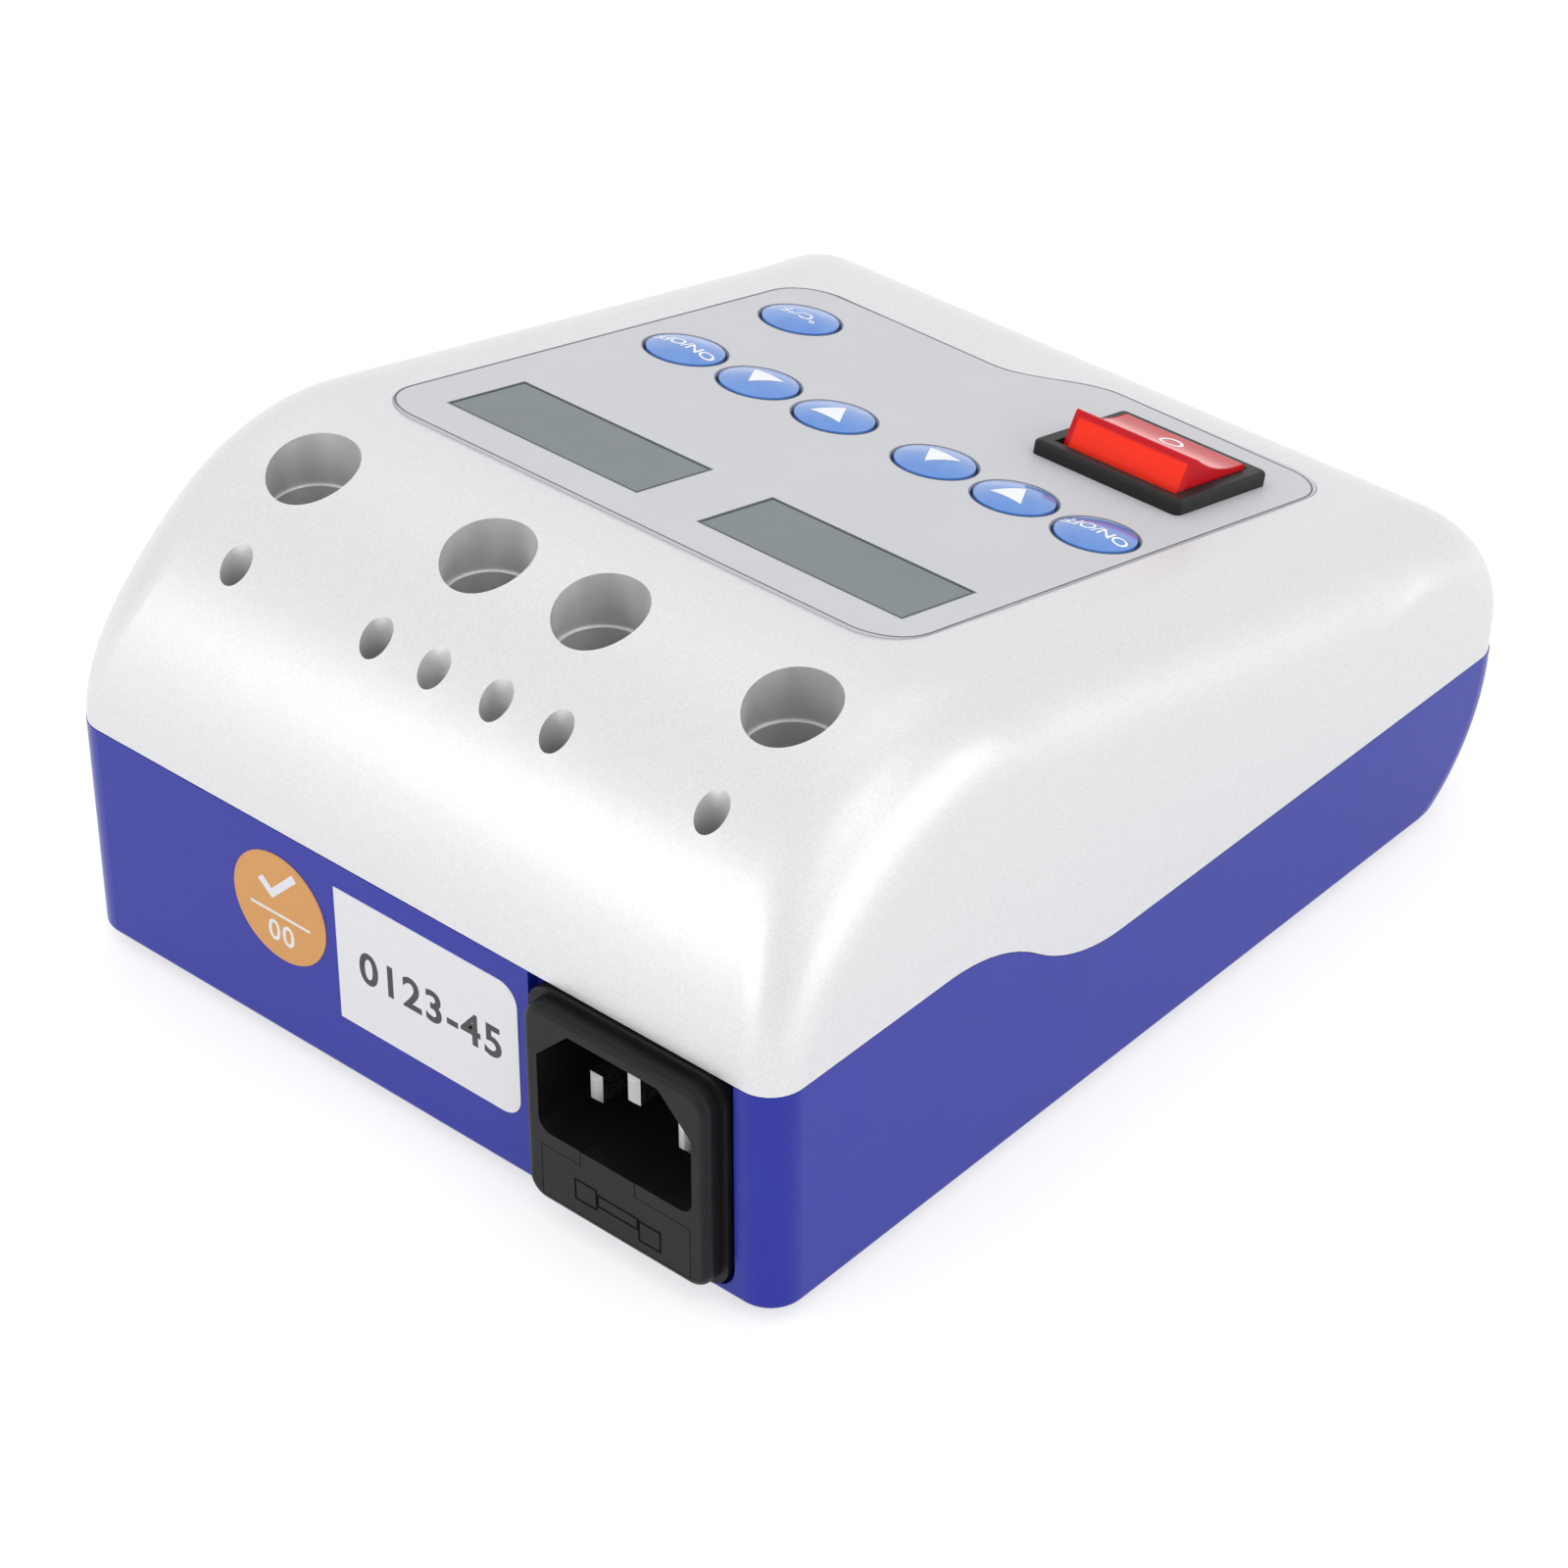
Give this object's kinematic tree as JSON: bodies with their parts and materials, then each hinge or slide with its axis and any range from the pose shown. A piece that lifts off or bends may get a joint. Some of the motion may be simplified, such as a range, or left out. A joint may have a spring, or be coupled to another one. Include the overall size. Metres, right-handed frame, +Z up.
{
  "type": "electric wax carver",
  "caption": "Bench-top electric wax carver control unit: silver wedge cover over a deep blue base, with displays, keys, rocker switch, pen wells, mains inlet and pen sockets.",
  "frame": {"origin": "on the bench, under the middle of the overall length, width and height box", "axes": "+Z up, -Y towards the operator, +X to the operator's right"},
  "size_m": [0.118, 0.154, 0.0688],
  "materials": {
    "cover_paint": "fine pearl paint, satin",
    "base_blue": "moulded, glossy deep blue",
    "overlay_film": "printed film, light grey-blue",
    "lcd_pane": "clear pane over grey-green display",
    "display_dark": "moulded, black",
    "lcd_glass": "liquid crystal glass, grey-green",
    "light_guide": "milky light guide",
    "key_blue": "moulded, mid blue",
    "tact_black": "moulded, black",
    "board_green": "circuit board, green mask",
    "screw_steel": "zinc plated",
    "switch_black": "moulded, satin black",
    "rocker_red": "translucent red-orange",
    "lamp_glass": "small glass lamp",
    "blade_brass": "plated",
    "inlet_black": "moulded, black-grey",
    "pin_metal": "nickel plated",
    "drawer_black": "moulded, black-grey",
    "fuse_glass": "clear",
    "fuse_metal": "nickel plated",
    "seal_orange": "printed paper, orange",
    "label_white": "printed paper, white",
    "foot_rubber": "soft black",
    "socket_metal": "nickel plated",
    "insert_black": "moulded, black",
    "contact_gold": "gilt",
    "core_steel": "varnished laminations",
    "bobbin_white": "moulded, cream",
    "winding_tape": "yellow tape over copper wire",
    "strap_steel": "zinc plated",
    "can_dark": "sleeved can",
    "heatsink_alu": "extruded",
    "package_black": "moulded, black",
    "terminal_green": "moulded, green"
  },
  "bodies": {
    "case": {"top_cover": "cover_paint", "base": "base_blue", "panel_overlay": "overlay_film", "window_left": "lcd_pane", "window_right": "lcd_pane", "display_frames": "display_dark", "display_glasses": "lcd_glass", "display_lights": "light_guide", "tact_switches": "tact_black", "display_board": "board_green", "board_screws": "screw_steel", "switch_housing": "switch_black", "switch_lamp": "lamp_glass", "switch_blades": "blade_brass", "inlet_housing": "inlet_black", "inlet_pins": "pin_metal", "inspection_seal": "seal_orange", "date_label": "label_white", "case_screws": "screw_steel", "feet": "foot_rubber", "socket_shells": "socket_metal", "socket_inserts": "insert_black", "socket_contacts": "contact_gold", "socket_nuts": "socket_metal", "transformer_core": "core_steel", "transformer_bobbin": "bobbin_white", "transformer_windings": "winding_tape", "transformer_strap": "strap_steel", "transformer_screws": "screw_steel", "power_board": "board_green", "capacitors": "can_dark", "heatsink": "heatsink_alu", "regulators": "package_black", "rectifier": "package_black", "terminal_blocks": "terminal_green", "chips": "package_black"},
    "key_left_down": {"key_left_down": "key_blue"},
    "key_left_up": {"key_left_up": "key_blue"},
    "key_left_power": {"key_left_power": "key_blue"},
    "key_right_down": {"key_right_down": "key_blue"},
    "key_right_up": {"key_right_up": "key_blue"},
    "key_right_power": {"key_right_power": "key_blue"},
    "key_units": {"key_units": "key_blue"},
    "rocker": {"switch_rocker": "rocker_red"},
    "drawer": {"fuse_drawer": "drawer_black", "fuse_tubes": "fuse_glass", "fuse_caps": "fuse_metal"}
  },
  "joints": [
    {"name": "key_left_down_press", "type": "slide", "parent": "case", "child": "key_left_down", "axis": [0, 0.225, -0.9744], "range_m": [0, 0.0004], "stiffness_N_per_m": 1500, "springref_m": -0.0004},
    {"name": "key_left_up_press", "type": "slide", "parent": "case", "child": "key_left_up", "axis": [0, 0.225, -0.9744], "range_m": [0, 0.0004], "stiffness_N_per_m": 1500, "springref_m": -0.0004},
    {"name": "key_left_power_press", "type": "slide", "parent": "case", "child": "key_left_power", "axis": [0, 0.225, -0.9744], "range_m": [0, 0.0004], "stiffness_N_per_m": 1500, "springref_m": -0.0004},
    {"name": "key_right_down_press", "type": "slide", "parent": "case", "child": "key_right_down", "axis": [0, 0.225, -0.9744], "range_m": [0, 0.0004], "stiffness_N_per_m": 1500, "springref_m": -0.0004},
    {"name": "key_right_up_press", "type": "slide", "parent": "case", "child": "key_right_up", "axis": [0, 0.225, -0.9744], "range_m": [0, 0.0004], "stiffness_N_per_m": 1500, "springref_m": -0.0004},
    {"name": "key_right_power_press", "type": "slide", "parent": "case", "child": "key_right_power", "axis": [0, 0.225, -0.9744], "range_m": [0, 0.0004], "stiffness_N_per_m": 1500, "springref_m": -0.0004},
    {"name": "key_units_press", "type": "slide", "parent": "case", "child": "key_units", "axis": [0, 0.225, -0.9744], "range_m": [0, 0.0004], "stiffness_N_per_m": 1500, "springref_m": -0.0004},
    {"name": "rocker_tilt", "type": "hinge", "parent": "case", "child": "rocker", "pos_m": [-0.0246, -0.03843, 0.05072], "axis": [-1, 0, 0], "range_deg": [0, 30]},
    {"name": "drawer_slide", "type": "slide", "parent": "case", "child": "drawer", "axis": [0, 1, 0], "range_m": [0, 0.014]}
  ]
}
